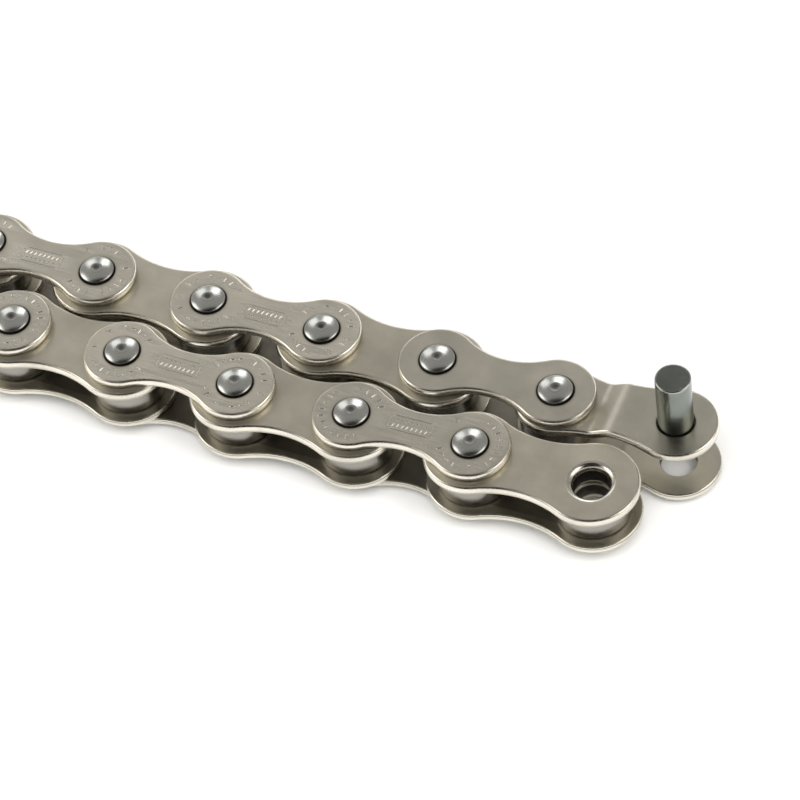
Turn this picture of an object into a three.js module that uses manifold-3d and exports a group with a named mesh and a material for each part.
// A length of half-inch by one-eighth-inch roller chain, lying on its side and folded back on itself:
// two straight strands nested side by side, joined by one link at the far (-X) end. The front strand ends
// in an open inner link, the back strand in an offset (half) link whose connecting pin is only started in
// its upper plate. All sizes in millimetres, +Z up; the pins stand vertical, and the chain rests on the
// lower rivet heads.
import * as THREE from "three";
import { mergeVertices } from "three/addons/utils/BufferGeometryUtils.js";
import Module from "manifold-3d";

const wasm = await Module();
wasm.setup();

// ---- driving dimensions ----
const PITCH = 12.7; // distance between pin axes
const PLATE_T = 0.95; // thickness of every plate
const INNER_WIDTH = 3.5; // gap between the two inner plates, where a sprocket tooth goes
const SIDE_PLAY = 0.06; // gap between an inner plate and the outer plate beside it
const HEAD_H = 0.6; // rivet head standing proud of the outer plate

const INNER_END_R = 4.96; // end radius of an inner plate
const INNER_WAIST = 3.58; // half the height of an inner plate at mid-pitch
const OUTER_END_R = 4.1;
const OUTER_WAIST = 2.3;
const OFFSET_END_R = 4.3; // both ends of the cranked plate
const OFFSET_WAIST = 3.25;
const CRANK_FROM = 4.4; // where the offset plate's bend starts and ends, from its narrow end
const CRANK_TO = 6.2;

const PIN_R = 1.8;
const HEAD_R = 1.95;
const PRESS_HOLE_R = 1.82; // outer plate hole, measured across its flats
const BORE_R = 1.88; // bore of the inner plate and its collar, across its flats
const MOUTH_R = 2.45; // the bore's flared mouth at the plate's outer face
const MOUTH_DEPTH = 0.5;
const COLLAR_R = 2.5; // outside of the collar that the inner plate is drawn into
const COLLAR_H = 1.62; // two collars face each other across a small gap
const ROLLER_R = 3.875;
const ROLLER_BORE_R = 2.6; // across its flats
const ROLLER_H = 3.3;

const ROW_SPACING = 8.75; // between the two strands' centrelines
const ROW_SHIFT = 5.7; // the back strand's end pin stands this far beyond the front strand's
const SAG = [0, 0.7, 0.7, -0.8, -1.15]; // degrees by which each straight front link turns outwards
const CONNECTING_PIN_L = 8.62;
const CONNECTING_PIN_UP = 7.0; // how far it stands proud of the offset plate as started

const END_SEGMENTS = 12; // facets of a plate's end arc
const WAIST_SEGMENTS = 5;
const HOLE_SEGMENTS = 16;
const ROLLER_SEGMENTS = 20;

// ---- levels, from the surface the chain lies on ----
const Z_OUTER_LOW = HEAD_H;
const Z_INNER_LOW = Z_OUTER_LOW + PLATE_T + SIDE_PLAY;
const Z_MID = Z_INNER_LOW + PLATE_T + INNER_WIDTH / 2;
const Z_INNER_TOP = Z_MID + INNER_WIDTH / 2 + PLATE_T; // upper face of the upper inner plate
const Z_OUTER_TOP = Z_INNER_TOP + SIDE_PLAY + PLATE_T; // upper face of the upper outer plate

// ---- materials ----
const nickel = (color, roughness) =>
  new THREE.MeshStandardMaterial({ color, roughness, metalness: 1 });
const material = {
  inner: () => nickel(0xa8a097, 0.32),
  outer: () => nickel(0xa39c92, 0.34),
  roller: () => nickel(0x8f8b86, 0.24),
  pin: () => nickel(0xb9b7b2, 0.2),
  darkPin: () => nickel(0x5e615c, 0.3),
};

// ---- solids ----
function solid(geometry) {
  const g = geometry.clone();
  g.deleteAttribute("normal");
  g.deleteAttribute("uv");
  const merged = mergeVertices(g, 1e-4);
  return new wasm.Manifold(
    new wasm.Mesh({
      numProp: 3,
      vertProperties: merged.attributes.position.array,
      triVerts: new Uint32Array(merged.index.array),
    }),
  );
}

function geometryOf(manifold) {
  const m = manifold.getMesh();
  const g = new THREE.BufferGeometry();
  const p = new Float32Array(m.numVert * 3);
  for (let i = 0; i < m.numVert; i++)
    p.set(m.vertProperties.subarray(i * m.numProp, i * m.numProp + 3), i * 3);
  g.setAttribute("position", new THREE.BufferAttribute(p, 3));
  g.setIndex(new THREE.BufferAttribute(m.triVerts, 1));
  const flat = g.toNonIndexed();
  flat.computeVertexNormals();
  return flat;
}

// Figure-of-eight outline: an end arc of radius r at each pin hole, joined by concave arcs that leave half
// a height of waist at mid-pitch. The holes stand at x = 0 and x = PITCH.
function plateShape(r, waist) {
  const h = PITCH / 2;
  const rw = (h * h + waist * waist - r * r) / (2 * (r - waist)); // radius of the concave arc
  const yc = waist + rw;
  const join = Math.atan2(yc, h); // direction from an end's centre to the concave arc's centre
  const points = [];
  const arc = (cx, cy, radius, from, to, n) => {
    for (let i = 0; i < n; i++) {
      const a = from + ((to - from) * i) / n;
      points.push(
        new THREE.Vector2(cx + radius * Math.cos(a), cy + radius * Math.sin(a)),
      );
    }
  };
  arc(PITCH, 0, r, -(Math.PI - join), Math.PI - join, END_SEGMENTS);
  arc(h, yc, rw, -join, -(Math.PI - join), WAIST_SEGMENTS);
  arc(0, 0, r, join, 2 * Math.PI - join, END_SEGMENTS);
  arc(h, -yc, rw, Math.PI - join, join, WAIST_SEGMENTS);
  return new THREE.Shape(points);
}

function extruded(shape, depth, z) {
  return new THREE.ExtrudeGeometry(shape, {
    depth,
    bevelEnabled: false,
    steps: 1,
  }).translate(0, 0, z);
}

// A solid of revolution about a vertical axis at (x, 0); acrossFlats widens it so that its flats, not its
// corners, stand at the given radii.
function turned(profile, segments, x = 0, acrossFlats = false) {
  const k = acrossFlats ? 1 / Math.cos(Math.PI / segments) : 1;
  const g = new THREE.LatheGeometry(
    profile.map(([r, z]) => new THREE.Vector2(r * k, z)),
    segments,
  );
  return g.rotateX(Math.PI / 2).translate(x, 0, 0);
}

// Inner plate for the lower side, its collars upwards; z0 is its outer face.
function innerPlateSolid() {
  let s = solid(extruded(plateShape(INNER_END_R, INNER_WAIST), PLATE_T, 0));
  for (const x of [0, PITCH]) {
    s = s.add(solid(collarBlank(x)));
  }
  for (const x of [0, PITCH]) s = s.subtract(solid(boreTool(x)));
  return s;
}

function collarBlank(x) {
  return turned(
    [
      [0, PLATE_T / 2],
      [COLLAR_R, PLATE_T / 2],
      [COLLAR_R, PLATE_T + COLLAR_H],
      [0, PLATE_T + COLLAR_H],
    ],
    HOLE_SEGMENTS,
    x,
  );
}

function boreTool(x) {
  return turned(
    [
      [0, -1],
      [MOUTH_R + (MOUTH_R - BORE_R) / MOUTH_DEPTH, -1],
      [BORE_R, MOUTH_DEPTH],
      [BORE_R, PLATE_T + COLLAR_H + 1],
      [0, PLATE_T + COLLAR_H + 1],
    ],
    HOLE_SEGMENTS,
    x,
    true,
  );
}

function pressHoleTool(x) {
  return turned(
    [
      [0, -3],
      [PRESS_HOLE_R, -3],
      [PRESS_HOLE_R, 4],
      [0, 4],
    ],
    HOLE_SEGMENTS,
    x,
    true,
  );
}

function outerPlateSolid() {
  let s = solid(extruded(plateShape(OUTER_END_R, OUTER_WAIST), PLATE_T, 0));
  for (const x of [0, PITCH]) s = s.subtract(solid(pressHoleTool(x)));
  return s;
}

// Cranked plate for the lower side: its narrow end at x = 0 lies at the inner plates' level and carries a
// collar, its wide end at x = PITCH is set outwards by one plate and the side play.
function offsetPlateSolid() {
  const step = PLATE_T + SIDE_PLAY;
  const slant = Math.atan2(step, CRANK_TO - CRANK_FROM);
  const shift = PLATE_T * Math.tan(slant / 2);
  const far = PITCH + OFFSET_END_R + 2;
  // side profile in x and z, outer face at z = 0 on the narrow end
  const side = new THREE.Shape(
    [
      [-far, 0],
      [CRANK_FROM, 0],
      [CRANK_TO, -step],
      [far, -step],
      [far, PLATE_T - step],
      [CRANK_TO + shift, PLATE_T - step],
      [CRANK_FROM + shift, PLATE_T],
      [-far, PLATE_T],
    ].map(([x, z]) => new THREE.Vector2(x, z)),
  );
  const band = new THREE.ExtrudeGeometry(side, {
    depth: 2 * OFFSET_END_R + 4,
    bevelEnabled: false,
    steps: 1,
  })
    .translate(0, 0, -OFFSET_END_R - 2)
    .rotateX(Math.PI / 2);
  const plan = extruded(plateShape(OFFSET_END_R, OFFSET_WAIST), 6, -3);
  return solid(band)
    .intersect(solid(plan))
    .add(solid(collarBlank(0)))
    .subtract(solid(boreTool(0)))
    .subtract(solid(pressHoleTool(PITCH)));
}

const innerPlate = geometryOf(innerPlateSolid());
const outerPlate = geometryOf(outerPlateSolid());
const offsetPlate = geometryOf(offsetPlateSolid());

// Mirrored about the chain's mid-plane for the upper side, with the faces turned back out.
function mirroredUp(geometry) {
  const g = geometry.clone();
  const p = g.attributes.position;
  for (let i = 0; i < p.count; i += 3) {
    for (let k = 0; k < 3; k++) p.setZ(i + k, -p.getZ(i + k));
    for (const f of ["X", "Y", "Z"]) {
      const a = p["get" + f](i + 1),
        b = p["get" + f](i + 2);
      p["set" + f](i + 1, b);
      p["set" + f](i + 2, a);
    }
  }
  g.computeVertexNormals();
  return g;
}
const innerPlateUp = mirroredUp(innerPlate);
const outerPlateUp = mirroredUp(outerPlate);
const offsetPlateUp = mirroredUp(offsetPlate);

// A closed ring: the profile comes back to its first point.
const roller = turned(
  [
    [ROLLER_BORE_R / Math.cos(Math.PI / ROLLER_SEGMENTS), Z_MID - ROLLER_H / 2],
    [ROLLER_R, Z_MID - ROLLER_H / 2],
    [ROLLER_R, Z_MID + ROLLER_H / 2],
    [ROLLER_BORE_R / Math.cos(Math.PI / ROLLER_SEGMENTS), Z_MID + ROLLER_H / 2],
    [ROLLER_BORE_R / Math.cos(Math.PI / ROLLER_SEGMENTS), Z_MID - ROLLER_H / 2],
  ],
  ROLLER_SEGMENTS,
);

const HEAD_GAP = 0.02; // a hair between each rivet head and its plate
const rivetedPin = turned(
  [
    [0, 0],
    [HEAD_R, 0],
    [HEAD_R, Z_OUTER_LOW - HEAD_GAP],
    [PIN_R, Z_OUTER_LOW - HEAD_GAP],
    [PIN_R, Z_OUTER_TOP + HEAD_GAP],
    [HEAD_R, Z_OUTER_TOP + HEAD_GAP],
    [HEAD_R, Z_OUTER_TOP + HEAD_H],
    [0, Z_OUTER_TOP + HEAD_H],
  ],
  HOLE_SEGMENTS,
);

const pinTop = Z_OUTER_TOP + CONNECTING_PIN_UP;
const connectingPin = turned(
  [
    [0, pinTop - CONNECTING_PIN_L],
    [PIN_R - 0.25, pinTop - CONNECTING_PIN_L],
    [PIN_R, pinTop - CONNECTING_PIN_L + 0.25],
    [PIN_R, pinTop - 0.2],
    [PIN_R - 0.2, pinTop],
    [0, pinTop],
  ],
  HOLE_SEGMENTS,
);

// ---- where the pin axes stand ----
// The front strand runs along -X from F[0], sagging a little in its joints; the back strand runs straight along
// -X from B[0]. The last front link turns outwards by a small angle, so that one link spans from F[6] to B[6].
const F = [[0, 0]];
for (const degrees of SAG) {
  const [x, y] = F[F.length - 1];
  const a = THREE.MathUtils.degToRad(degrees);
  F.push([x - PITCH * Math.cos(a), y - PITCH * Math.sin(a)]);
}
const B = [0, 1, 2, 3, 4, 5, 6].map((k) => [
  ROW_SHIFT - k * PITCH,
  ROW_SPACING,
]);

function foldAngle() {
  let lo = 0,
    hi = 0.6;
  for (let i = 0; i < 60; i++) {
    const a = (lo + hi) / 2;
    const dx = F[5][0] - PITCH * Math.cos(a) - B[6][0];
    const dy = F[5][1] - PITCH * Math.sin(a) - B[6][1];
    if (Math.hypot(dx, dy) > PITCH) hi = a;
    else lo = a;
  }
  return (lo + hi) / 2;
}
const FOLD = foldAngle();
F.push([F[5][0] - PITCH * Math.cos(FOLD), F[5][1] - PITCH * Math.sin(FOLD)]);

// ---- assembly ----
const chain = new THREE.Group();

function linkGroup([x0, y0], [x1, y1]) {
  const g = new THREE.Group();
  g.position.set(x0, y0, 0);
  g.rotation.z = Math.atan2(y1 - y0, x1 - x0);
  chain.add(g);
  return g;
}

function put(group, name, geometry, mat, x = 0, z = 0) {
  const m = new THREE.Mesh(geometry, mat);
  m.name = name;
  m.position.set(x, 0, z);
  group.add(m);
}

function innerLink(id, a, b) {
  const g = linkGroup(a, b);
  put(g, id + "_inner_plate_bottom", innerPlate, material.inner(), 0, Z_INNER_LOW);
  put(g, id + "_inner_plate_top", innerPlateUp, material.inner(), 0, Z_INNER_TOP);
  put(g, id + "_roller_a", roller, material.roller(), 0);
  put(g, id + "_roller_b", roller, material.roller(), PITCH);
}

function outerLink(id, a, b) {
  const g = linkGroup(a, b);
  put(g, id + "_outer_plate_bottom", outerPlate, material.outer(), 0, Z_OUTER_LOW);
  put(g, id + "_outer_plate_top", outerPlateUp, material.outer(), 0, Z_OUTER_TOP);
  put(g, id + "_pin_a", rivetedPin, material.pin(), 0);
  put(g, id + "_pin_b", rivetedPin, material.pin(), PITCH);
}

// from the narrow, collared end a to the wide end b
function offsetLink(id, a, b) {
  const g = linkGroup(a, b);
  put(g, id + "_offset_plate_bottom", offsetPlate, material.outer(), 0, Z_INNER_LOW);
  put(g, id + "_offset_plate_top", offsetPlateUp, material.outer(), 0, Z_INNER_TOP);
  put(g, id + "_roller", roller, material.roller(), 0);
  put(g, id + "_connecting_pin", connectingPin, material.darkPin(), PITCH);
}

innerLink("link01", F[0], F[1]);
outerLink("link02", F[1], F[2]);
innerLink("link03", F[2], F[3]);
outerLink("link04", F[3], F[4]);
innerLink("link05", F[4], F[5]);
outerLink("link06", F[5], F[6]);
innerLink("link07", F[6], B[6]);
outerLink("link08", B[6], B[5]);
innerLink("link09", B[5], B[4]);
outerLink("link10", B[4], B[3]);
innerLink("link11", B[3], B[2]);
outerLink("link12", B[2], B[1]);
offsetLink("link13", B[1], B[0]);

// The origin is the middle of the foot of the whole length's box.
chain.updateMatrixWorld(true);
const box = new THREE.Box3();
chain.traverse((o) => {
  if (!o.isMesh) return;
  const p = o.geometry.attributes.position;
  const v = new THREE.Vector3();
  for (let i = 0; i < p.count; i++)
    box.expandByPoint(v.fromBufferAttribute(p, i).applyMatrix4(o.matrixWorld));
});
chain.position.set(
  -(box.min.x + box.max.x) / 2,
  -(box.min.y + box.max.y) / 2,
  -box.min.z,
);

const part = new THREE.Group();
part.add(chain);

export default part;
